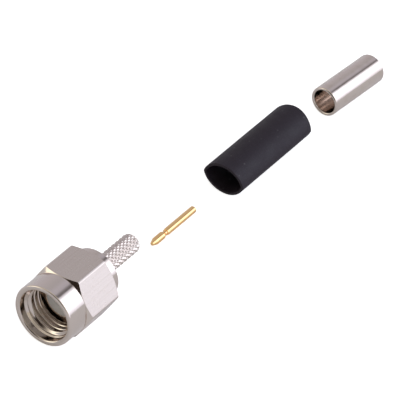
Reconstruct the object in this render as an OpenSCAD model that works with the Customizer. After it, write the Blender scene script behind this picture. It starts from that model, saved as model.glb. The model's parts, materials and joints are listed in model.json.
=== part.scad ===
// Crimp-type miniature coaxial plug, laid out as the loose pieces of one unassembled connector.
// The connector's axis runs along +X, from its mouth towards the cable, and +Z is up.
// The origin is the centre of the mating reference plane, the front face of the outer contact.
// Everything lies on the plane that the coupling nut's lower flat rests on.

/* [Coupling nut] */
// Width of the hexagon across its flats
nut_af = 8.0; // [7.6:0.1:10]
// Amount turned off the hexagon's corners
nut_corner_cut = 0.07; // [0.02:0.01:0.15]
// Length of the nut from its mouth to its rear face
nut_length = 8.6; // [7.1:0.1:12]
// Step from the flats down to the round collar at the mouth
collar_step = 0.05; // [0:0.01:0.1]
// Length of the round collar
collar_length = 2.95; // [1.5:0.05:3.4]
// Radius of the rolled outer edge of the mouth
lip_round = 0.4; // [0.1:0.05:0.5]
// Step from the flats down to the edge of the nut's rear face
nut_rear_step = 0.1; // [0.05:0.01:0.3]
// Depth of the reference plane behind the mouth
mouth_recess = 3.5; // [2.9:0.05:4.2]
// Depth of the plain bore at the mouth
mouth_bore_depth = 0.9; // [0.4:0.05:1.2]
// Radial room between the plain bore and the thread's major diameter
mouth_bore_gap = 0.125; // [0.05:0.005:0.15]

/* [Coupling thread] */
// Depth of the coupling thread, 1/4-36 UNS
thread_depth = 0.355; // [0.3:0.005:0.4]
// Clear length between the end of the thread and the reference plane
thread_end_gap = 0.12; // [0.11:0.01:0.5]
// Extra depth of the relief behind the thread
thread_relief_depth = 0.08; // [0:0.01:0.12]

/* [Plug body] */
// Wall of the outer contact sleeve
contact_wall = 0.23; // [0.15:0.01:0.3]
// Length of the outer contact sleeve in front of the barrel
contact_length = 2.1; // [1.6:0.05:2.5]
// Step from the outer contact sleeve up to the barrel that the nut turns on
barrel_step = 0.35; // [0.2:0.01:0.5]
// Radial room between the barrel and the thread's crests, which pass over it
barrel_gap = 0.17; // [0.1:0.01:0.2]
// Reach of the shoulder past the nut's rear bore
shoulder_reach = 0.47; // [0.3:0.01:0.9]
// Length of the shoulder behind the nut
shoulder_length = 1.65; // [1:0.05:3]
// Chamfer of the shoulder's edges
shoulder_chamfer = 0.25; // [0.1:0.05:0.4]
// Radial gap between the nut and the barrel
nut_running_gap = 0.08; // [0.03:0.01:0.1]
// Axial gap between the nut and the shoulder
nut_end_gap = 0.1; // [0.05:0.01:0.2]

/* [Crimp stem] */
// Bore that the cable's inner insulation passes through
stem_bore_d = 1.64; // [1.3:0.02:2]
// Wall of the stem, from the bore to the crests of the knurl
stem_wall = 0.43; // [0.36:0.01:0.7]
// Length of the stem behind the shoulder
stem_length = 6.9; // [5:0.1:10]
// Length of the plain root between the shoulder and the knurl
stem_root_length = 0.4; // [0.2:0.05:0.8]
// Knurl diamonds around the stem
knurl_count = 16; // [12:1:20]
// Length of one knurl diamond along the stem
knurl_pitch = 0.72; // [0.6:0.02:1]
// Depth of the knurl's grooves
knurl_depth = 0.14; // [0.08:0.01:0.18]
// Chamfer of the stem's rear end
stem_end_chamfer = 0.22; // [0.1:0.01:0.3]

/* [Insulator] */
// Diameter of the insulator
insulator_d = 4.1; // [3.4:0.02:4.2]
// Radial gap between the insulator and its cavity
insulator_gap = 0.02; // [0.01:0.005:0.03]
// Wall of the body behind the insulator
insulator_back_wall = 1.25; // [0.8:0.05:2]
// Radial gap between the insulator's bore and the rear part of the centre contact
contact_bore_gap = 0.04; // [0.02:0.01:0.1]
// Radial gap between the insulator's front lip and the neck of the centre contact
contact_neck_gap = 0.06; // [0.02:0.01:0.1]
// Length of the front lip
insulator_lip_length = 0.5; // [0.3:0.05:0.6]

/* [Retaining ring] */
// Thickness of the ring along the axis
ring_thickness = 0.4; // [0.3:0.05:0.5]
// Depth of the ring's groove in the barrel
ring_groove_depth = 0.3; // [0.2:0.01:0.4]
// Depth of the ring's groove in the nut
nut_groove_depth = 0.4; // [0.3:0.01:0.5]
// Opening of the split ring, in degrees
ring_split = 36; // [20:2:60]
// Gap around the ring in its grooves
ring_gap = 0.05; // [0.03:0.01:0.08]

/* [Centre contact] */
// Length of the centre contact
pin_length = 8.7; // [7.5:0.1:11]
// Diameter of the mating pin
pin_front_d = 0.94; // [0.9:0.01:0.98]
// Diameter of the blunt tip
pin_tip_d = 0.42; // [0.3:0.02:0.6]
// Length of the tapered tip
pin_tip_length = 0.75; // [0.5:0.05:1]
// Distance from the tip to the neck's front taper
pin_front_length = 2.15; // [1.9:0.05:2.6]
// Length of the neck's front taper
pin_front_taper = 0.35; // [0.1:0.05:0.5]
// Diameter of the neck
pin_neck_d = 0.62; // [0.54:0.02:0.8]
// Length of the neck
pin_neck_length = 0.35; // [0.2:0.05:0.8]
// Diameter of the rear part
pin_rear_d = 0.9; // [0.84:0.01:1.25]
// Width of the bevel at the front of the rear part
pin_rear_bevel = 0.06; // [0:0.01:0.1]
// Length of the bevel at the front of the rear part
pin_rear_taper = 0.3; // [0.1:0.05:0.5]
// Bore that the cable's centre conductor is soldered into
pin_bore_d = 0.56; // [0.5:0.02:0.68]
// Depth of the solder bore
pin_bore_depth = 2.6; // [2:0.1:3.4]
// Diameter of the inspection hole
pin_window_d = 0.36; // [0.3:0.02:0.4]
// Distance from the rear end to the inspection hole
pin_window_back = 2.1; // [1.5:0.05:2.4]

/* [Crimp ferrule] */
// Room around the stem for the cable's braid
ferrule_braid_room = 0.3; // [0.2:0.01:0.5]
// Wall of the ferrule
ferrule_wall = 0.4; // [0.3:0.01:0.6]
// Length of the ferrule
ferrule_length = 9.9; // [8:0.1:13]
// Rounding of the ferrule's ends
ferrule_round = 0.15; // [0.05:0.01:0.25]

/* [Heat-shrink sleeve] */
// Width of the flattened sleeve
sleeve_width = 5.75; // [4.6:0.05:7]
// Height of the flattened sleeve
sleeve_height = 4.3; // [3.4:0.05:4.5]
// Wall of the sleeve
sleeve_wall = 0.32; // [0.2:0.02:0.5]
// Length of the sleeve
sleeve_length = 15.6; // [12:0.1:25]
// Slant of the front cut, in degrees
sleeve_front_slant = 5; // [0:0.5:8]
// Slant of the rear cut, in degrees
sleeve_rear_slant = 12; // [0:0.5:15]

/* [Layout] */
// Gap between the stem and the centre contact's tip
pin_lay_gap = 4.9; // [2:0.1:10]
// Gap between the centre contact and the sleeve
sleeve_lay_gap = 4.9; // [2:0.1:10]
// Gap between the sleeve and the ferrule
ferrule_lay_gap = 5.8; // [2:0.1:10]
// Sideways place of the centre contact's tip
pin_lay_side = 0.4; // [-1:0.1:1]
// Sideways place of the sleeve's front end
sleeve_lay_side = -0.2; // [-1:0.05:1]
// Sideways place of the ferrule's front end
ferrule_lay_side = -0.85; // [-1.5:0.05:1.5]
// Turn of the ferrule away from the row, in degrees
ferrule_lay_turn = -4.1; // [-8:0.1:8]

/* [Hidden] */

nickel = [0.72, 0.70, 0.68];
gold = [0.83, 0.66, 0.38];
spring_bronze = [0.72, 0.52, 0.36];
ptfe = [0.93, 0.93, 0.91];
black_tube = [0.09, 0.08, 0.10];

turn_fn = 96;                  // smoothness of turned surfaces
overlap = 1;                   // how far a cutting solid runs past what it cuts
turned_edge = 0.08;            // break of a turned edge
mouth_edge = 0.12;             // break of the mouth's inner edge
hex_chamfer_slope = tan(30);   // length of a hexagon's end chamfer for each unit of radius
floor_z = -nut_af / 2;         // everything rests on this plane

// Places along the axis
mouth_x = -mouth_recess;
nut_rear_x = mouth_x + nut_length;
collar_end_x = mouth_x + collar_length;
barrel_x = contact_length;
shoulder_x = nut_rear_x + nut_end_gap;
shoulder_rear_x = shoulder_x + shoulder_length;
stem_rear_x = shoulder_rear_x + stem_length;

// Radii from the insulator outwards
cavity_r = insulator_d / 2 + insulator_gap;
contact_r = cavity_r + contact_wall;
barrel_r = contact_r + barrel_step;
thread_minor_r = barrel_r + barrel_gap;  // the thread's wall is the plain cylinder of its crests
thread_major_r = thread_minor_r + thread_depth;
thread_relief_r = thread_major_r + thread_relief_depth;
mouth_bore_r = thread_major_r + mouth_bore_gap;

// Places along the coupling thread
thread_x = mouth_x + mouth_bore_depth + mouth_bore_r - thread_minor_r;
thread_rear_x = -thread_end_gap;

// Fits between the pieces
nut_bore_r = barrel_r + nut_running_gap;
shoulder_r = nut_bore_r + shoulder_reach;
insulator_length = shoulder_rear_x - insulator_back_wall;
ring_x = barrel_x + (shoulder_x - barrel_x - ring_thickness) / 2;
ring_inner_r = barrel_r - ring_groove_depth + ring_gap;
ring_outer_r = nut_bore_r + nut_groove_depth - 2 * ring_gap;
stem_r = stem_bore_d / 2 + stem_wall;
stem_root_relief = 0.04;                 // how far the plain root lies below the knurl's grooves
ferrule_inner_r = stem_r + ferrule_braid_room;
ferrule_outer_r = ferrule_inner_r + ferrule_wall;

// Places of the loose pieces
pin_x = stem_rear_x + pin_lay_gap;
sleeve_x = pin_x + pin_length + sleeve_lay_gap;
ferrule_x = sleeve_x + sleeve_length + ferrule_lay_gap;

// A solid turned about the X axis from an outline of [radius, x] points.
module turned(outline) {
    rotate([0, 90, 0]) rotate_extrude($fn = turn_fn) polygon(outline);
}

// A round bar or bore along the X axis.
module bar(from_x, to_x, r) {
    translate([from_x, 0, 0]) rotate([0, 90, 0]) cylinder(h = to_x - from_x, r = r, $fn = turn_fn);
}

// Points of a quarter round of radius r about [centre radius, centre x], from angle a0 to a1.
function round_edge(centre, r, a0, a1, steps = 6) =
    [for (i = [0 : steps]) let (a = a0 + (a1 - a0) * i / steps) centre + r * [cos(a), sin(a)]];

// The nut: a round collar with a rolled lip, and a hexagon whose ends are chamfered at 30 degrees.
module nut_blank() {
    collar_r = nut_af / 2 - collar_step;
    corner_r = nut_af / 2 / cos(30) - nut_corner_cut;
    rear_r = nut_af / 2 - nut_rear_step;
    lip = min(lip_round, 0.8 * (collar_r - mouth_bore_r - mouth_edge));
    turned(concat(
        [[0, mouth_x]],
        round_edge([collar_r - lip, mouth_x + lip], lip, -90, 0),
        [[collar_r, collar_end_x + overlap], [0, collar_end_x + overlap]]));
    intersection() {
        translate([collar_end_x, 0, 0]) rotate([0, 90, 0])
            cylinder(h = nut_rear_x - collar_end_x, d = nut_af / cos(30), $fn = 6);
        turned([
            [0, collar_end_x], [collar_r, collar_end_x],
            [corner_r, collar_end_x + (corner_r - collar_r) * hex_chamfer_slope],
            [corner_r, nut_rear_x - (corner_r - rear_r) * hex_chamfer_slope],
            [rear_r, nut_rear_x], [0, nut_rear_x]]);
    }
}

module coupling_nut() {
    color(nickel) difference() {
        // The hexagon's corners stand level with its centre, so that a flat lies on the floor.
        rotate([30, 0, 0]) nut_blank();
        // Mouth: a broken edge, a plain bore and a cone down to the thread.
        turned([
            [0, mouth_x - overlap], [mouth_bore_r + mouth_edge + overlap, mouth_x - overlap],
            [mouth_bore_r, mouth_x + mouth_edge], [mouth_bore_r, mouth_x + mouth_bore_depth],
            [thread_minor_r, thread_x], [0, thread_x]]);
        bar(mouth_x, thread_rear_x + overlap / 2, thread_minor_r);
        // Thread relief, as far back as the barrel.
        turned([
            [0, thread_rear_x], [thread_minor_r, thread_rear_x],
            [thread_relief_r, thread_rear_x + thread_relief_r - thread_minor_r],
            [thread_relief_r, barrel_x], [0, barrel_x]]);
        bar(barrel_x - overlap / 2, nut_rear_x + overlap, nut_bore_r);
        // Groove that the retaining ring holds the nut by.
        bar(ring_x - 2 * ring_gap, ring_x + ring_thickness + 2 * ring_gap,
            nut_bore_r + nut_groove_depth);
    }
}

// The knurled skin of the stem: a grid of points whose radius alternates between crest and groove,
// split along the grooves, so that each diamond is a low four-sided pyramid.
module knurled_bar(from_x, to_x) {
    columns = 2 * knurl_count;
    rows = round((to_x - from_x) / (knurl_pitch / 2));
    crest_r = stem_r;
    root_r = crest_r - knurl_depth;
    function is_crest(i, j) = (i + j) % 2 == 0;
    function spot(i, j) = let (a = 360 * i / columns, edge = j == 0 || j == rows,
                               r = is_crest(i, j) && !edge ? crest_r : root_r)
        [from_x + (to_x - from_x) * j / rows, r * cos(a), r * sin(a)];
    function at(i, j) = j * columns + (i % columns);
    points = [for (j = [0 : rows], i = [0 : columns - 1]) spot(i, j)];
    skin = [for (j = [0 : rows - 1], i = [0 : columns - 1])
        let (a = at(i, j), b = at(i + 1, j), c = at(i + 1, j + 1), d = at(i, j + 1))
        each is_crest(i, j) ? [[a, d, b], [b, d, c]] : [[a, c, b], [a, d, c]]];
    ends = [[for (i = [0 : columns - 1]) at(i, 0)], [for (i = [columns - 1 : -1 : 0]) at(i, rows)]];
    polyhedron(points, concat(skin, ends), convexity = 4);
}

module plug_body() {
    edge = turned_edge;
    root_r = stem_r - knurl_depth - stem_root_relief;
    knurl_x = shoulder_rear_x + stem_root_length;
    color(nickel) difference() {
        union() {
            turned([
                [0, 0], [contact_r - edge, 0], [contact_r, edge], [contact_r, barrel_x],
                [barrel_r - edge, barrel_x], [barrel_r, barrel_x + edge], [barrel_r, shoulder_x],
                [shoulder_r - edge, shoulder_x], [shoulder_r, shoulder_x + edge],
                [shoulder_r, shoulder_rear_x - shoulder_chamfer],
                [shoulder_r - shoulder_chamfer, shoulder_rear_x],
                [root_r, shoulder_rear_x], [root_r, knurl_x + overlap], [0, knurl_x + overlap]]);
            intersection() {
                knurled_bar(knurl_x, stem_rear_x);
                turned([
                    [0, knurl_x], [stem_r + overlap, knurl_x],
                    [stem_r + overlap, stem_rear_x - stem_end_chamfer - overlap],
                    [stem_r - stem_end_chamfer, stem_rear_x], [0, stem_rear_x]]);
            }
        }
        // Groove of the retaining ring.
        difference() {
            bar(ring_x - ring_gap, ring_x + ring_thickness + ring_gap, barrel_r + overlap);
            bar(ring_x - overlap, ring_x + overlap, barrel_r - ring_groove_depth);
        }
        bar(-overlap, insulator_length, cavity_r);
        bar(insulator_length - overlap, stem_rear_x + overlap, stem_bore_d / 2);
    }
}

module retaining_ring() {
    color(spring_bronze) difference() {
        bar(ring_x, ring_x + ring_thickness, ring_outer_r);
        bar(ring_x - overlap, ring_x + ring_thickness + overlap, ring_inner_r);
        // The split, a wedge that opens upwards.
        translate([ring_x - overlap, 0, 0]) rotate([0, 90, 0])
            linear_extrude(height = ring_thickness + 2 * overlap)
                polygon([[0, 0], for (side = [-1, 1])
                    2 * ring_outer_r * [-cos(ring_split / 2), side * sin(ring_split / 2)]]);
    }
}

module insulator() {
    color(ptfe) difference() {
        bar(0, insulator_length, insulator_d / 2);
        bar(-overlap, insulator_length + overlap, pin_neck_d / 2 + contact_neck_gap);
        bar(insulator_lip_length, insulator_length + overlap, pin_rear_d / 2 + contact_bore_gap);
    }
}

module centre_contact() {
    front_r = pin_front_d / 2;
    rear_r = pin_rear_d / 2;
    neck_r = pin_neck_d / 2;
    tip_r = pin_tip_d / 2;
    edge = turned_edge;
    end_chamfer = 0.14;
    neck_x = pin_front_length + pin_front_taper;
    step_x = neck_x + pin_neck_length;
    window_x = pin_length - pin_window_back;
    color(gold) translate([pin_x, pin_lay_side, floor_z + max(front_r, rear_r)]) difference() {
        turned([
            [0, 0], [tip_r - edge, 0], [tip_r, edge],
            [front_r, pin_tip_length], [front_r, pin_front_length],
            [neck_r, neck_x], [neck_r, step_x],
            [rear_r - pin_rear_bevel, step_x], [rear_r, step_x + pin_rear_taper],
            [rear_r, pin_length - end_chamfer], [rear_r - end_chamfer, pin_length], [0, pin_length]]);
        bar(pin_length - pin_bore_depth, pin_length + overlap, pin_bore_d / 2);
        // Inspection hole, turned a little to the side.
        translate([window_x, 0, 0]) rotate([110, 0, 0])
            cylinder(h = rear_r + overlap, d = pin_window_d, $fn = 32);
    }
}

module crimp_ferrule() {
    r = min(ferrule_round, 0.4 * ferrule_wall);
    inner_r = ferrule_inner_r + r;
    outer_r = ferrule_outer_r - r;
    color(nickel) translate([ferrule_x, ferrule_lay_side, floor_z + ferrule_outer_r])
        rotate([0, 0, ferrule_lay_turn]) turned(concat(
            round_edge([inner_r, r], r, 180, 270),
            round_edge([outer_r, r], r, -90, 0),
            round_edge([outer_r, ferrule_length - r], r, 0, 90),
            round_edge([inner_r, ferrule_length - r], r, 90, 180)));
}

// A lens-shaped outline, two arcs that meet in a crease at each side, less an even wall.
module lens(width, height, wall = 0) {
    h = height / 2;
    w = width / 2;
    arc_r = (w * w + h * h) / (2 * h);
    intersection_for(side = [-1, 1])
        translate([0, side * (arc_r - h)]) circle(r = arc_r - wall, $fn = turn_fn);
}

// Everything on the far side of a slanted cut, which leans in the plane of the row.
module beyond_cut(x, slant, ahead) {
    size = 4 * sleeve_width;
    translate([x, 0, 0]) rotate([0, -slant, 0])
        translate([ahead ? 0 : -size, -size / 2, -size / 2]) cube(size);
}

module heat_shrink_sleeve() {
    front_reach = sleeve_height / 2 * tan(sleeve_front_slant);
    rear_reach = sleeve_height / 2 * tan(sleeve_rear_slant);
    color(black_tube) translate([sleeve_x, sleeve_lay_side, floor_z + sleeve_height / 2])
        difference() {
            rotate([90, 0, 90]) linear_extrude(height = sleeve_length) difference() {
                lens(sleeve_width, sleeve_height);
                lens(sleeve_width, sleeve_height, sleeve_wall);
            }
            beyond_cut(front_reach, sleeve_front_slant, false);
            beyond_cut(sleeve_length - rear_reach, -sleeve_rear_slant, true);
        }
}

coupling_nut();
plug_body();
retaining_ring();
insulator();
centre_contact();
crimp_ferrule();
heat_shrink_sleeve();
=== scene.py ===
"""Looks for a crimp coaxial plug that lies unassembled: the plug with its coupling nut, the gold centre
contact, the heat-shrink sleeve and the crimp ferrule. Shapes are worked out in millimetres."""

import json
import math

import bmesh
import bpy
import numpy as np
from mathutils import Matrix, Vector


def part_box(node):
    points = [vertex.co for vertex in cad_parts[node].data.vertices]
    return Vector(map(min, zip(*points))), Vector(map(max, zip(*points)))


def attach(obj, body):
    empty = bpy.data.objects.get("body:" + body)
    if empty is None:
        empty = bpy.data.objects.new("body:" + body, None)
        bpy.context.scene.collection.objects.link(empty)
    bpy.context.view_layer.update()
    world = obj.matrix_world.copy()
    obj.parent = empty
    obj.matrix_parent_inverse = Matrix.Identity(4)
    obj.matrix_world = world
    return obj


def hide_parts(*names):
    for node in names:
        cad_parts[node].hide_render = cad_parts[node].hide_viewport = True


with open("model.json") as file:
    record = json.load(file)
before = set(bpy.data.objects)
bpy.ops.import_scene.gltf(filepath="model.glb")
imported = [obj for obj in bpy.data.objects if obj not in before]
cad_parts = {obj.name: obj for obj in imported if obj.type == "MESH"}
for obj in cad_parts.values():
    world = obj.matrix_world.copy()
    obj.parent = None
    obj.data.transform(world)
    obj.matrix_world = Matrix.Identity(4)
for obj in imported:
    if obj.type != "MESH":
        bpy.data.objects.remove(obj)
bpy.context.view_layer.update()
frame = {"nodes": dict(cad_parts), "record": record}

MM = 0.001
mounts = {m["name"]: m for m in frame["record"]["mounts"]}


# ---------------------------------------------------------------- sizes shared with the frame

def box_mm(node):
    """Lowest and highest corner of a CAD node, in millimetres."""
    low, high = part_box(node)
    return np.array(low) / MM, np.array(high) / MM


def mount_radius(name):
    return mounts[name]["dims"]["r_mm"]


def mount_length(name):
    return mounts[name]["dims"]["length_mm"]


def mount_place(name):
    return np.array(mounts[name]["pos_m"]) / MM


NUT_LOW, NUT_HIGH = box_mm("coupling_nut")
BODY_LOW, BODY_HIGH = box_mm("plug_body")
INSULATOR_LOW, INSULATOR_HIGH = box_mm("insulator")
PIN_LOW, PIN_HIGH = box_mm("centre_contact")
SLEEVE_LOW, SLEEVE_HIGH = box_mm("heat_shrink_sleeve")
RING_LOW, RING_HIGH = box_mm("retaining_ring")

FLOOR_Z = NUT_LOW[2]
MOUTH_X = NUT_LOW[0]
NUT_REAR_X = NUT_HIGH[0]
APOTHEM = NUT_HIGH[2]
SHOULDER_R = BODY_HIGH[2]

THREAD_MINOR_R = mount_radius("coupling_thread")
THREAD_DEPTH = 0.355
THREAD_PITCH = 25.4 / 36
THREAD_REAR_X = mount_place("coupling_thread")[0] + mount_length("coupling_thread") / 2
MOUTH_BORE_R = 3.3
RELIEF_R = 3.255
NUT_BORE_R = 2.73
BARREL_X = 2.1
MOUTH_BEVEL = 0.12
REAR_BEVEL = 0.1
ENTRY_DEPTH = 0.9
COLLAR_LENGTH = 2.95
CHAMFER_DEGREES = 30


# ---------------------------------------------------------------- surfaces

def filleted(corners, steps=4, closed=True):
    """Rounds the corners of an outline. Each corner is (x, r, radius), where x, r and radius may be arrays
    over the columns of a surface. A corner becomes an arc that touches both its sides, swept by the
    great-circle rule between the two touching radii, with one more row close on either side of it,
    so that the flat stretches keep their true normals. Returns x and r with one row for each point."""
    columns = max(np.size(v) for corner in corners for v in corner)
    grid = np.array([[np.broadcast_to(v, columns) for v in corner] for corner in corners], float)
    spots = grid[:, :2]
    rows = []
    count = len(corners)
    for i in range(count):
        here = spots[i]
        if not closed and i in (0, count - 1):
            rows.append(here)
            continue
        side_a = spots[i - 1] - here
        side_b = spots[(i + 1) % count] - here
        length_a = np.hypot(*side_a)
        length_b = np.hypot(*side_b)
        side_a = side_a / length_a
        side_b = side_b / length_b
        half = np.arccos(np.clip((side_a * side_b).sum(0), -0.9999, 0.9999)) / 2
        room = 0.42 * np.minimum(length_a, length_b)
        reach = np.minimum(grid[i, 2] / np.tan(half), room)
        radius = reach * np.tan(half)
        middle = side_a + side_b
        centre = here + middle / np.hypot(*middle) * radius / np.sin(half)
        start = here + side_a * reach - centre
        end = here + side_b * reach - centre
        sweep = np.pi - 2 * half
        margin = np.minimum(0.25 * reach + 0.004, room - reach + 0.002)
        rows.append(here + side_a * (reach + margin))
        for t in np.linspace(0, 1, steps + 1):
            rows.append(centre + (np.sin((1 - t) * sweep) * start + np.sin(t * sweep) * end) / np.sin(sweep))
        rows.append(here + side_b * (reach + margin))
    out = np.array(rows)
    return out[:, 0], out[:, 1]


def make_mesh(name, points, faces, material, weights=None):
    """A smooth mesh object from points in millimetres. weights holds values for each point, by name."""
    mesh = bpy.data.meshes.new(name)
    mesh.from_pydata((points * MM).tolist(), [], faces.tolist())
    for key, values in (weights or {}).items():
        layer = mesh.attributes.new(key, "FLOAT", "POINT")
        layer.data.foreach_set("value", np.asarray(values, np.float32).ravel())
    build = bmesh.new()
    build.from_mesh(mesh)
    bmesh.ops.remove_doubles(build, verts=build.verts, dist=1e-8)
    bmesh.ops.dissolve_degenerate(build, edges=build.edges, dist=1e-9)
    if build.calc_volume(signed=True) < 0:
        bmesh.ops.reverse_faces(build, faces=build.faces)
    build.to_mesh(mesh)
    build.free()
    mesh.polygons.foreach_set("use_smooth", np.ones(len(mesh.polygons), bool))
    mesh.materials.append(material)
    mesh.update()
    piece = bpy.data.objects.new(name, mesh)
    bpy.context.scene.collection.objects.link(piece)
    return piece


def grid_faces(rows, columns, closed):
    """Corners of the quads of a grid whose columns close up, and whose rows do too if closed."""
    i, j = np.meshgrid(np.arange(rows if closed else rows - 1), np.arange(columns), indexing="ij")
    i, j = i.ravel(), j.ravel()
    up, side = (i + 1) % rows, (j + 1) % columns
    return np.stack([i * columns + j, i * columns + side, up * columns + side, up * columns + j], 1)


def turned(name, x, r, angles, material, closed=True, weights=None, place=None):
    """A surface turned about the X axis. Its point on row i and column j is
    (x[i, j], r[i, j] cos a[j], r[i, j] sin a[j]), moved by the matrix place."""
    columns = len(angles)
    x = np.broadcast_to(x, (len(x), columns))
    r = np.broadcast_to(r, (len(r), columns))
    points = np.stack([x, r * np.cos(angles), r * np.sin(angles)], 2).reshape(-1, 3)
    if place is not None:
        points = points @ np.array(place.to_3x3()).T + np.array(place.translation)
    return make_mesh(name, points, grid_faces(len(x), columns, closed), material, weights)


def even_angles(columns):
    return np.linspace(0, 2 * np.pi, columns, endpoint=False)


# ---------------------------------------------------------------- shader nodes

def add_node(tree, kind, inputs=None, **settings):
    """Adds a node. inputs maps a socket's name or number to a value or to another node's output."""
    node = tree.nodes.new(kind)
    for key, value in settings.items():
        setattr(node, key, value)
    for key, value in (inputs or {}).items():
        if isinstance(value, bpy.types.NodeSocket):
            tree.links.new(value, node.inputs[key])
        else:
            node.inputs[key].default_value = value
    return node


def math_node(tree, operation, *values, clamp=False):
    return add_node(tree, "ShaderNodeMath", dict(enumerate(values)), operation=operation,
                    use_clamp=clamp).outputs[0]


def ramp(tree, value, low, high, out_low=0.0, out_high=1.0):
    """Maps low..high to out_low..out_high along a smooth step."""
    return add_node(tree, "ShaderNodeMapRange",
                    {"Value": value, "From Min": low, "From Max": high,
                     "To Min": out_low, "To Max": out_high},
                    interpolation_type="SMOOTHSTEP").outputs[0]


def mix_colour(tree, factor, colour_a, colour_b, blend="MIX"):
    node = add_node(tree, "ShaderNodeMix", {0: factor}, data_type="RGBA", blend_type=blend)
    for socket, value in ((node.inputs[6], colour_a), (node.inputs[7], colour_b)):
        if isinstance(value, bpy.types.NodeSocket):
            tree.links.new(value, socket)
        else:
            socket.default_value = value
    return node.outputs[2]


def new_group(name, inputs, outputs):
    """An empty shader node group with the named sockets, each (kind, default)."""
    tree = bpy.data.node_groups.new(name, "ShaderNodeTree")
    for key, (kind, default) in inputs.items():
        socket = tree.interface.new_socket(key, in_out="INPUT", socket_type="NodeSocket" + kind)
        if default is not None:
            socket.default_value = default
    for key, kind in outputs.items():
        tree.interface.new_socket(key, in_out="OUTPUT", socket_type="NodeSocket" + kind)
    start = tree.nodes.new("NodeGroupInput")
    end = tree.nodes.new("NodeGroupOutput")
    return tree, start.outputs, end.inputs


def lathe_marks_group():
    """Height of the fine rings that a lathe tool leaves across the X axis: noise that varies along X only."""
    tree, given, result = new_group(
        "lathe_marks", {"Vector": ("Vector", None), "Rings per mm": ("Float", 12.0)}, {"Height": "Float"})
    along = add_node(tree, "ShaderNodeSeparateXYZ", {0: given["Vector"]}).outputs[0]
    turns = math_node(tree, "MULTIPLY", along, math_node(tree, "MULTIPLY", given["Rings per mm"], 1000.0))
    rings = add_node(tree, "ShaderNodeTexNoise", {"W": turns, "Scale": 1.0, "Detail": 3.0, "Roughness": 0.6},
                     noise_dimensions="1D")
    tree.links.new(rings.outputs[0], result["Height"])
    return tree


def brushed_group():
    """Height of fine brush lines along the X axis: noise squeezed across X and drawn out along it."""
    tree, given, result = new_group(
        "brushed_lines", {"Vector": ("Vector", None), "Lines per mm": ("Float", 20.0)}, {"Height": "Float"})
    across = math_node(tree, "MULTIPLY", given["Lines per mm"], 1000.0)
    stretch = add_node(tree, "ShaderNodeCombineXYZ", {0: 150.0, 1: across, 2: across}).outputs[0]
    spot = add_node(tree, "ShaderNodeVectorMath", {0: given["Vector"], 1: stretch}, operation="MULTIPLY")
    lines = add_node(tree, "ShaderNodeTexNoise",
                     {"Vector": spot.outputs[0], "Scale": 1.0, "Detail": 4.0, "Roughness": 0.65})
    tree.links.new(lines.outputs[0], result["Height"])
    return tree


def handling_haze_group():
    """Roughness that wanders between two values in soft patches, as plate that has been handled."""
    tree, given, result = new_group(
        "handling_haze",
        {"Vector": ("Vector", None), "Clean": ("Float", 0.1), "Hazy": ("Float", 0.2),
         "Patch size": ("Float", 900.0)},
        {"Roughness": "Float"})
    patches = add_node(tree, "ShaderNodeTexNoise",
                       {"Vector": given["Vector"], "Scale": given["Patch size"],
                        "Detail": 5.0, "Roughness": 0.6})
    level = add_node(tree, "ShaderNodeMapRange",
                     {"Value": patches.outputs[0], "From Min": 0.35, "From Max": 0.7,
                      "To Min": given["Clean"], "To Max": given["Hazy"]})
    tree.links.new(level.outputs[0], result["Roughness"])
    return tree


LATHE_MARKS = lathe_marks_group()
BRUSHED_LINES = brushed_group()
HANDLING_HAZE = handling_haze_group()


def use_group(tree, group, inputs):
    node = tree.nodes.new("ShaderNodeGroup")
    node.node_tree = group
    for key, value in inputs.items():
        if isinstance(value, bpy.types.NodeSocket):
            tree.links.new(value, node.inputs[key])
        else:
            node.inputs[key].default_value = value
    return node.outputs[0]


def new_material(name, **sockets):
    """A Principled material with the given constant sockets, with its tree, its shader and its position."""
    material = bpy.data.materials.new(name)
    material.use_nodes = True
    tree = material.node_tree
    shader = tree.nodes["Principled BSDF"]
    for key, value in sockets.items():
        shader.inputs[key].default_value = value
    place = add_node(tree, "ShaderNodeTexCoord").outputs["Object"]
    return material, tree, shader, place


# ---------------------------------------------------------------- materials

NICKEL = (0.72, 0.64, 0.585, 1)
NICKEL_DEEP = (0.66, 0.575, 0.51, 1)
GOLD = (1.0, 0.66, 0.31, 1)
GOLD_DEEP = (0.95, 0.60, 0.26, 1)


def plated(name, colour, colour_deep, clean, hazy, rings_per_mm=12.0, ring_depth=0.0000012, tint_size=600.0):
    """Bright plate on a turned piece: a tint that wanders a little, soft haze and fine lathe rings."""
    material, tree, shader, place = new_material(name, **{"Metallic": 1.0})
    tint = add_node(tree, "ShaderNodeTexNoise", {"Vector": place, "Scale": tint_size, "Detail": 3.0})
    colour_out = mix_colour(tree, ramp(tree, tint.outputs[0], 0.4, 0.75), colour, colour_deep)
    haze = use_group(tree, HANDLING_HAZE, {"Vector": place, "Clean": clean, "Hazy": hazy})
    marks = use_group(tree, LATHE_MARKS, {"Vector": place, "Rings per mm": rings_per_mm})
    bump = add_node(tree, "ShaderNodeBump", {"Strength": 1.0, "Distance": ring_depth, "Height": marks})
    tree.links.new(colour_out, shader.inputs["Base Color"])
    tree.links.new(haze, shader.inputs["Roughness"])
    tree.links.new(bump.outputs[0], shader.inputs["Normal"])
    return material


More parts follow.
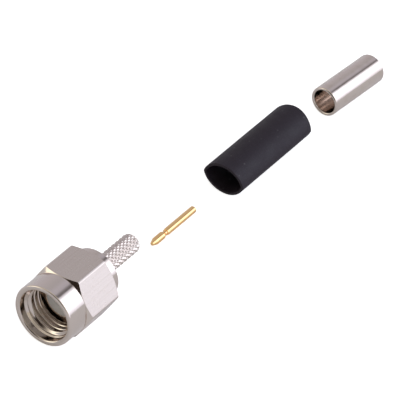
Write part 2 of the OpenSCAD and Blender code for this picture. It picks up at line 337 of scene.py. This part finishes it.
def nut_nickel():
    """Bright nickel on the coupling nut. Its attribute milled is 1 on the hexagon's flats, which keep fine
    axial brush lines and are hazier, and 0 on the turned surfaces, which keep lathe rings."""
    material, tree, shader, place = new_material("nickel_nut", **{"Metallic": 1.0})
    milled = add_node(tree, "ShaderNodeAttribute", attribute_name="milled").outputs["Fac"]
    brushed = use_group(tree, BRUSHED_LINES, {"Vector": place, "Lines per mm": 9.0})
    rings = use_group(tree, LATHE_MARKS, {"Vector": place, "Rings per mm": 12.0})
    turned_haze = use_group(tree, HANDLING_HAZE, {"Vector": place, "Clean": 0.09, "Hazy": 0.15})
    milled_haze = use_group(tree, HANDLING_HAZE,
                            {"Vector": place, "Clean": 0.2, "Hazy": 0.3, "Patch size": 1400.0})
    rough = add_node(tree, "ShaderNodeMix", {0: milled, 2: turned_haze, 3: milled_haze}).outputs[0]
    tint = math_node(tree, "MULTIPLY", ramp(tree, brushed, 0.45, 0.8), milled)
    colour = mix_colour(tree, tint, NICKEL, NICKEL_DEEP)
    ring_bump = add_node(tree, "ShaderNodeBump", {"Strength": 1.0, "Distance": 0.0000012, "Height": rings})
    line_bump = add_node(tree, "ShaderNodeBump",
                         {"Strength": milled, "Distance": 0.000002, "Height": brushed,
                          "Normal": ring_bump.outputs[0]})
    tree.links.new(colour, shader.inputs["Base Color"])
    tree.links.new(rough, shader.inputs["Roughness"])
    tree.links.new(line_bump.outputs[0], shader.inputs["Normal"])
    return material


def ptfe():
    """Waxy white fluoroplastic: faint mottling and a soft skin."""
    material, tree, shader, place = new_material(
        "insulator_ptfe", **{"Roughness": 0.42, "IOR": 1.36})
    mottle = add_node(tree, "ShaderNodeTexNoise", {"Vector": place, "Scale": 2500.0, "Detail": 4.0})
    colour = mix_colour(tree, mottle.outputs[0], (0.86, 0.85, 0.84, 1), (0.92, 0.915, 0.91, 1))
    bump = add_node(tree, "ShaderNodeBump",
                    {"Strength": 0.4, "Distance": 0.00001, "Height": mottle.outputs[0]})
    tree.links.new(colour, shader.inputs["Base Color"])
    tree.links.new(bump.outputs[0], shader.inputs["Normal"])
    return material


def shrink_tube():
    """Black polyolefin tube: a dull violet-black skin with fine pits and a few pale specks of dust."""
    material, tree, shader, place = new_material("black_sleeve", **{"IOR": 1.4, "Specular IOR Level": 0.35})
    grain = add_node(tree, "ShaderNodeTexNoise",
                     {"Vector": place, "Scale": 9000.0, "Detail": 3.0, "Roughness": 0.7})
    patches = add_node(tree, "ShaderNodeTexNoise", {"Vector": place, "Scale": 700.0, "Detail": 4.0})
    dust = add_node(tree, "ShaderNodeTexVoronoi", {"Vector": place, "Scale": 900.0, "Randomness": 1.0})
    speck = ramp(tree, dust.outputs["Distance"], 0.16, 0.05)
    base = mix_colour(tree, patches.outputs[0], (0.014, 0.010, 0.015, 1), (0.022, 0.016, 0.024, 1))
    grained = mix_colour(tree, ramp(tree, grain.outputs[0], 0.5, 0.75), base, (0.034, 0.027, 0.039, 1))
    dusty = mix_colour(tree, math_node(tree, "MULTIPLY", speck, 0.35), grained, (0.12, 0.115, 0.12, 1))
    bump = add_node(tree, "ShaderNodeBump",
                    {"Strength": 0.6, "Distance": 0.00002, "Height": grain.outputs[0]})
    tree.links.new(dusty, shader.inputs["Base Color"])
    tree.links.new(ramp(tree, patches.outputs[0], 0.3, 0.7, 0.5, 0.6), shader.inputs["Roughness"])
    tree.links.new(bump.outputs[0], shader.inputs["Normal"])
    return material


# ---------------------------------------------------------------- coupling nut

def hexagon_angles():
    """Angles of the nut's columns. Each sixth has a flat, two rounded edges where columns crowd, and half a
    turned corner at either end."""
    degrees = np.concatenate([
        np.linspace(-29.4, -29.0, 2), np.linspace(-28.75, -28.1, 5), np.linspace(-27.4, 27.4, 25),
        np.linspace(28.1, 28.75, 5), np.linspace(29.0, 30.0, 3)])
    sixths = 30 + 60 * np.arange(6)
    return np.radians((sixths[:, None] + degrees[None, :]).ravel()), np.tile(degrees, 6)


def smooth_min(a, b, width):
    """The smaller of a and b, blended by a quadratic where they differ by less than width."""
    h = np.clip(0.5 + 0.5 * (b - a) / width, 0, 1)
    return b * (1 - h) + a * h - width * h * (1 - h)


def thread_height(turns):
    """Depth below the crest, 0 to 1, of an internal 60 degree thread at a number of turns: a flat crest, a
    straight flank and a flat root, with the corners between them eased."""
    away = np.abs(np.mod(turns, 1) - 0.5) * 2
    flank = np.clip((away - 0.22) / 0.60, 0, 1)
    return 0.6 * flank + 0.4 * flank * flank * (3 - 2 * flank)


def coupling_nut(material):
    angles, degrees = hexagon_angles()
    corner_r = NUT_HIGH[1]
    flat_r = APOTHEM / np.cos(np.radians(degrees))
    hex_r = smooth_min(flat_r, corner_r, 0.012)
    slope = math.tan(math.radians(CHAMFER_DEGREES))
    collar_r = APOTHEM - 0.05
    rear_r = APOTHEM - 0.1
    collar_end = MOUTH_X + COLLAR_LENGTH
    edge, crisp = 0.03, 0.02
    groove_gap, groove_depth = 0.1, 0.4
    outer_x, outer_r = filleted([
        (MOUTH_X, MOUTH_BORE_R + MOUTH_BEVEL, 0.05),
        (MOUTH_X, collar_r, 0.4),
        (collar_end, collar_r, crisp),
        (collar_end + (hex_r - collar_r) * slope, hex_r, edge),
        (NUT_REAR_X - (hex_r - rear_r) * slope, hex_r, edge),
        (NUT_REAR_X, rear_r, edge),
        (NUT_REAR_X, NUT_BORE_R + REAR_BEVEL, crisp),
        (NUT_REAR_X - REAR_BEVEL, NUT_BORE_R, crisp),
        (RING_HIGH[0] + groove_gap, NUT_BORE_R, crisp),
        (RING_HIGH[0] + groove_gap, NUT_BORE_R + groove_depth, crisp),
        (RING_LOW[0] - groove_gap, NUT_BORE_R + groove_depth, crisp),
        (RING_LOW[0] - groove_gap, NUT_BORE_R, crisp),
        (BARREL_X, NUT_BORE_R, crisp),
        (BARREL_X, RELIEF_R, 0.05),
        (THREAD_REAR_X + 0.6, RELIEF_R, 0)], steps=5, closed=False)
    # The threaded stretch is a height field: the widest of the entry cone, the relief and the helix.
    entry_x = MOUTH_X + ENTRY_DEPTH
    row_gap = 0.0235
    thread_x = np.arange(THREAD_REAR_X + 0.55, entry_x - 0.03, -row_gap)[:, None]
    entry_cone = MOUTH_BORE_R - np.maximum(thread_x - entry_x, 0)
    relief = THREAD_MINOR_R + np.clip(thread_x - THREAD_REAR_X, 0, RELIEF_R - THREAD_MINOR_R)
    helix = THREAD_MINOR_R + THREAD_DEPTH * thread_height(thread_x / THREAD_PITCH - angles / (2 * np.pi))
    thread_r = np.maximum(np.maximum(entry_cone, relief), helix)
    thread_r = np.minimum(thread_r, np.where(thread_x < 0, MOUTH_BORE_R, RELIEF_R))
    mouth_x, mouth_r = filleted([
        (entry_x - 0.05, MOUTH_BORE_R, 0), (MOUTH_X + MOUTH_BEVEL, MOUTH_BORE_R, 0.03),
        (MOUTH_X, MOUTH_BORE_R + MOUTH_BEVEL, 0)], steps=4, closed=False)
    columns = len(angles)
    widen = [np.broadcast_to(v, (len(v), columns))
             for v in (outer_x, outer_r, thread_x, thread_r, mouth_x[:-1], mouth_r[:-1])]
    x = np.concatenate([widen[0], widen[2], widen[4]])
    r = np.concatenate([widen[1], widen[3], widen[5]])
    on_flat = (r * np.cos(np.radians(degrees)) > APOTHEM - 0.004) & (r > collar_r + 0.02)
    return turned("coupling_nut_plated", x, r, angles, material, weights={"milled": on_flat})


# ---------------------------------------------------------------- plug body

KNURL_COUNT = 16
KNURL_DEPTH = 0.14
KNURL_PITCH = 6.5 / 9
STEM_R = 1.25
STEM_ROOT_R = 1.07
STEM_LENGTH = 6.9
STEM_END_ROUND = 0.3


def knurl_height(x, angles):
    """Height of the knurl, 0 to 1: the lower of two crossing helical ridges, each a triangle wave, cut off
    flat near the top."""
    lead = x / KNURL_PITCH
    around = KNURL_COUNT * angles / (2 * np.pi)
    ridge_a = np.abs(2 * np.mod(lead + around, 1) - 1)
    ridge_b = np.abs(2 * np.mod(lead - around, 1) - 1)
    return np.minimum(np.minimum(ridge_a, ridge_b) / 0.78, 1)


def plug_body(material):
    angles = even_angles(KNURL_COUNT * 14)
    columns = len(angles)
    cavity_r, contact_r, barrel_r = 2.07, 2.3, 2.65
    shoulder_x, shoulder_rear = 5.2, BODY_HIGH[0] - STEM_LENGTH
    knurl_x, stem_end = shoulder_rear + 0.4, BODY_HIGH[0]
    bore_r = mount_radius("cable_bore")
    cavity_end = INSULATOR_HIGH[0]
    groove = (RING_LOW[0] - 0.05, RING_HIGH[0] + 0.05, barrel_r - 0.3)
    front_x, front_r = filleted([
        (knurl_x, bore_r, 0), (cavity_end, bore_r, 0.03), (cavity_end, cavity_r, 0.03),
        (0, cavity_r, 0.04), (0, contact_r, 0.07), (BARREL_X, contact_r, 0.03), (BARREL_X, barrel_r, 0.06),
        (groove[0], barrel_r, 0.02), (groove[0], groove[2], 0.02), (groove[1], groove[2], 0.02),
        (groove[1], barrel_r, 0.02), (shoulder_x, barrel_r, 0.03), (shoulder_x, SHOULDER_R, 0.06),
        (shoulder_rear - 0.25, SHOULDER_R, 0.05), (shoulder_rear, SHOULDER_R - 0.25, 0.05),
        (shoulder_rear, STEM_ROOT_R, 0.06), (knurl_x, STEM_ROOT_R, 0)], steps=4, closed=False)
    knurl_rows = np.linspace(knurl_x + 0.01, stem_end - 0.01, 150)[:, None]
    taper = np.clip(np.minimum(knurl_rows - knurl_x, stem_end - knurl_rows) / 0.14, 0, 1)
    ridge = knurl_height(knurl_rows - knurl_x, angles) * taper
    skin_r = STEM_R - KNURL_DEPTH * (1 - ridge)
    into_end = np.clip(knurl_rows - (stem_end - STEM_END_ROUND), 0, 0.999 * STEM_END_ROUND)
    rounded_r = STEM_R - STEM_END_ROUND + np.sqrt(STEM_END_ROUND ** 2 - into_end ** 2)
    skin_r = np.minimum(skin_r, rounded_r)
    rear_x, rear_r = filleted([
        (stem_end, STEM_R - STEM_END_ROUND, 0), (stem_end, bore_r, 0.05), (knurl_x, bore_r, 0)],
        steps=4, closed=False)
    widen = [np.broadcast_to(v, (len(v), columns))
             for v in (front_x, front_r, knurl_rows, skin_r, rear_x[:-1], rear_r[:-1])]
    x = np.concatenate([widen[0], widen[2], widen[4]])
    r = np.concatenate([widen[1], widen[3], widen[5]])
    return turned("plug_body_plated", x, r, angles, material)


def insulator(material):
    length = INSULATOR_HIGH[0]
    outer_r = 2.05
    x, r = filleted([
        (0, 0.37, 0.03), (0, outer_r, 0.05), (length, outer_r, 0.05), (length, 0.49, 0.03),
        (0.5, 0.49, 0.03), (0.5, 0.37, 0.03)], steps=3)
    return turned("insulator_moulding", x, r, even_angles(96), material)


# ---------------------------------------------------------------- centre contact

def centre_contact(material):
    rear_r = 0.45
    centre = (PIN_LOW + PIN_HIGH) / 2
    length = PIN_HIGH[0] - PIN_LOW[0]
    front_r = mount_radius("contact_pin")
    bore_r, bore_depth = mount_radius("solder_bore"), mount_length("solder_bore")
    tip_r, neck_r = 0.21, 0.31
    x, r = filleted([
        (0, 0, 0), (0, tip_r, 0.07), (0.75, front_r, 0.12), (2.15, front_r, 0.05), (2.5, neck_r, 0.08),
        (2.85, neck_r, 0.02), (2.85, rear_r - 0.06, 0.03), (3.15, rear_r, 0.06),
        (length - 0.14, rear_r, 0.08), (length, rear_r - 0.14, 0.05), (length, bore_r, 0.03),
        (length - bore_depth, bore_r, 0.02), (length - bore_depth - 0.12, 0, 0)], steps=5, closed=False)
    place = Matrix.Translation((PIN_LOW[0], centre[1], centre[2]))
    return turned("centre_contact_gold", x, r, even_angles(96), material, closed=False, place=place)


# ---------------------------------------------------------------- crimp ferrule

def crimp_ferrule(material):
    along = Vector(mounts["ferrule_bore"]["axis"])
    middle = Vector(mount_place("ferrule_bore"))
    inner_r = mount_radius("ferrule_bore")
    outer_r = middle.z - FLOOR_Z
    # The bore's mount stops short of the rounded rims at the two ends.
    both_rims = 0.3
    half = (mount_length("ferrule_bore") + both_rims) / 2
    x, r = filleted([
        (-half, inner_r, 0.17), (-half, outer_r, 0.2), (half, outer_r, 0.2), (half, inner_r, 0.17)], steps=8)
    turn = Matrix.Rotation(math.atan2(along.y, along.x), 4, "Z")
    return turned("crimp_ferrule_plated", x, r, even_angles(160), material,
                  place=Matrix.Translation(middle) @ turn)


# ---------------------------------------------------------------- heat-shrink sleeve

SLEEVE_WALL = 0.32
CREASE_SOFTNESS = 0.0016
FRONT_SLANT = math.radians(5)
REAR_SLANT = math.radians(12)


def sleeve_radius(angles, half_width, half_height):
    """Distance from the sleeve's middle to its wall: two arcs that bulge by half_height over half_width and
    meet in a crease at each side, rounded a little there by a blend of the two."""
    arc_r = (half_width ** 2 + half_height ** 2) / (2 * half_height)
    drop = arc_r - half_height
    rise = np.abs(np.sin(angles))
    soft_rise = np.sqrt(rise ** 2 + CREASE_SOFTNESS)
    reach = np.sqrt(arc_r ** 2 - (drop * np.cos(angles)) ** 2 - drop ** 2 * CREASE_SOFTNESS)
    return reach - drop * soft_rise


def heat_shrink_sleeve(material):
    half_width = (SLEEVE_HIGH[1] - SLEEVE_LOW[1]) / 2
    half_height = (SLEEVE_HIGH[2] - SLEEVE_LOW[2]) / 2
    centre_y = (SLEEVE_HIGH[1] + SLEEVE_LOW[1]) / 2
    centre_z = (SLEEVE_HIGH[2] + SLEEVE_LOW[2]) / 2
    angles = even_angles(192)
    front = SLEEVE_LOW[0] + half_height * math.tan(FRONT_SLANT) * (1 - np.sin(angles))
    rear = SLEEVE_HIGH[0] - half_height * math.tan(REAR_SLANT) * (1 - np.sin(angles))
    outer_r = sleeve_radius(angles, half_width, half_height)
    inner_r = sleeve_radius(angles, half_width - SLEEVE_WALL, half_height - SLEEVE_WALL)
    x, r = filleted([
        (front, inner_r, 0.05), (front, outer_r, 0.07),
        (rear, outer_r, 0.07), (rear, inner_r, 0.05)], steps=4)
    points = np.stack([x, r * np.cos(angles) + centre_y, r * np.sin(angles) + centre_z], 2).reshape(-1, 3)
    return make_mesh("heat_shrink_tube", points, grid_faces(len(x), len(angles), True), material)


# ---------------------------------------------------------------- making the pieces

nut_plate = nut_nickel()
body_plate = plated("nickel_body", NICKEL, NICKEL_DEEP, 0.10, 0.18)
ferrule_plate = plated("nickel_ferrule", NICKEL, NICKEL_DEEP, 0.12, 0.18,
                       rings_per_mm=8.0, ring_depth=0.0000008)
gold_plate = plated("gold", GOLD, GOLD_DEEP, 0.14, 0.22, rings_per_mm=14.0)
bronze = plated("spring_bronze", (0.72, 0.47, 0.30, 1), (0.6, 0.36, 0.22, 1), 0.25, 0.4)

PIECES = (
    (coupling_nut(nut_plate), "nut", "coupling_nut", "nickel_nut"),
    (plug_body(body_plate), "plug", "plug_body", "nickel_body"),
    (insulator(ptfe()), "plug", "insulator", "insulator_ptfe"),
    (centre_contact(gold_plate), "plug", "centre_contact", "gold"),
    (crimp_ferrule(ferrule_plate), "plug", "crimp_ferrule", "nickel_ferrule"),
    (heat_shrink_sleeve(shrink_tube()), "plug", "heat_shrink_sleeve", "black_sleeve"),
)
for piece, body, node, slot in PIECES:
    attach(piece, body)
    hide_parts(node)

ring = frame["nodes"]["retaining_ring"]
ring.data.materials.clear()
ring.data.materials.append(bronze)


# ---------------------------------------------------------------- floor, light and camera

def floor():
    """A plain pale floor, lit from within so that it stays white, with faint contact shadows."""
    mesh = bpy.data.meshes.new("floor")
    size = 3.0
    z = FLOOR_Z * MM
    corners = [(-size, -size, z), (size, -size, z), (size, size, z), (-size, size, z)]
    mesh.from_pydata(corners, [], [(0, 1, 2, 3)])
    plane = bpy.data.objects.new("floor", mesh)
    bpy.context.scene.collection.objects.link(plane)
    material = bpy.data.materials.new("white_floor")
    material.use_nodes = True
    tree = material.node_tree
    shader = tree.nodes["Principled BSDF"]
    shader.inputs["Base Color"].default_value = (0.8, 0.8, 0.8, 1)
    shader.inputs["Roughness"].default_value = 1.0
    shader.inputs["Specular IOR Level"].default_value = 0.0
    shader.inputs["Emission Color"].default_value = (1, 1, 1, 1)
    seen = add_node(tree, "ShaderNodeLightPath").outputs["Is Camera Ray"]
    own_light = 0.75
    tree.links.new(math_node(tree, "MULTIPLY", seen, own_light), shader.inputs["Emission Strength"])
    mesh.materials.append(material)


def studio_world():
    """The studio around the object, as brightness by direction. Behind the row, directions are told by
    their angle across the X axis, from straight up towards -Y: a grey room, and a long soft light on the
    right whose upper edge has a dark frame. In front of the row the room is warm, with a dark side that the
    mouth faces and a small cream light low on the left."""
    world = bpy.data.worlds.new("studio")
    world.use_nodes = True
    tree = world.node_tree
    tree.nodes.clear()
    way = add_node(tree, "ShaderNodeTexCoord").outputs["Generated"]
    parts = add_node(tree, "ShaderNodeSeparateXYZ", {0: way}).outputs
    across = math_node(tree, "ARCTAN2", math_node(tree, "MULTIPLY", parts[1], -1.0), parts[2])
    turn_share = math_node(tree, "ADD", math_node(tree, "DIVIDE", across, 2 * math.pi), 0.5)
    sides = add_node(tree, "ShaderNodeValToRGB", {0: turn_share})
    stops = ((-180, (0.45, 0.44, 0.50)), (-120, (0.62, 0.60, 0.66)), (-86, (0.60, 0.585, 0.64)),
             (-54, (0.56, 0.54, 0.58)), (-22, (0.50, 0.49, 0.52)), (-4, (0.56, 0.55, 0.62)),
             (6, (0.52, 0.51, 0.58)), (13, (0.24, 0.23, 0.25)), (19, (0.16, 0.15, 0.16)),
             (24, (0.75, 0.76, 0.86)), (30, (1.4, 1.47, 1.65)), (42, (2.1, 2.2, 2.5)), (62, (2.1, 2.2, 2.5)),
             (74, (1.65, 1.73, 1.97)), (86, (1.2, 1.24, 1.42)), (96, (0.86, 0.85, 0.96)),
             (110, (0.70, 0.68, 0.76)), (138, (0.51, 0.50, 0.57)), (180, (0.45, 0.44, 0.50)))
    # The ramp's colours stop at 1, so it holds shares of the brightest value and is scaled back after it.
    brightest = 3.0
    elements = sides.color_ramp.elements
    while len(elements) < len(stops):
        elements.new(0.5)
    for element, (degrees, radiance) in zip(elements, stops):
        element.position = degrees / 360 + 0.5
        element.color = (*(v / brightest for v in radiance), 1)
    behind = add_node(tree, "ShaderNodeVectorMath", {0: sides.outputs[0], "Scale": brightest},
                      operation="SCALE").outputs[0]

    def towards(axis, inner, outer):
        """1 within inner degrees of the axis, falling to 0 at outer degrees."""
        unit = Vector(axis).normalized()
        near = add_node(tree, "ShaderNodeVectorMath", {0: way, 1: unit},
                        operation="DOT_PRODUCT").outputs["Value"]
        return ramp(tree, near, math.cos(math.radians(outer)), math.cos(math.radians(inner)))

    front = (0.62, 0.58, 0.50, 1)
    front = mix_colour(tree, towards((-0.975, -0.064, 0.21), 12, 34), front, (0.03, 0.022, 0.018, 1))
    front = mix_colour(tree, towards((-0.618, 0.785, 0.035), 10, 26), front, (1.7, 1.65, 1.4, 1))
    colour = mix_colour(tree, ramp(tree, parts[0], -0.45, 0.1), front, behind)
    background = add_node(tree, "ShaderNodeBackground", {"Color": colour, "Strength": 1.0})
    out = add_node(tree, "ShaderNodeOutputWorld")
    tree.links.new(background.outputs[0], out.inputs[0])
    bpy.context.scene.world = world


def camera():
    """A long lens that looks down along the row, from the mouth's side, with a slight roll."""
    azimuth, elevation, roll = (math.radians(v) for v in (-58.585, 37.7, 5.081))
    back = Vector((math.sin(azimuth) * math.cos(elevation), -math.cos(azimuth) * math.cos(elevation),
                   math.sin(elevation)))
    level = Vector((math.cos(azimuth), math.sin(azimuth), 0))
    up = back.cross(level)
    right = level * math.cos(roll) + up * math.sin(roll)
    up = up * math.cos(roll) - level * math.sin(roll)
    # Where the mouth's centre lies as seen by the camera: right, up and back.
    mouth_seen = Vector((-17.5888, -13.0323, -391.773))
    mouth = Vector((MOUTH_X, 0, 0))
    place = mouth - (right * mouth_seen.x + up * mouth_seen.y + back * mouth_seen.z)
    lens = bpy.data.cameras.new("camera")
    lens.sensor_width = 36.0
    lens.lens = 315.0
    lens.clip_start, lens.clip_end = 0.01, 20.0
    view = bpy.data.objects.new("camera", lens)
    bpy.context.scene.collection.objects.link(view)
    turn = Matrix((right, up, back)).transposed()
    view.matrix_world = Matrix.Translation(place * MM) @ turn.to_4x4()
    bpy.context.scene.camera = view


floor()
studio_world()
camera()
bpy.context.scene.view_settings.view_transform = "Standard"
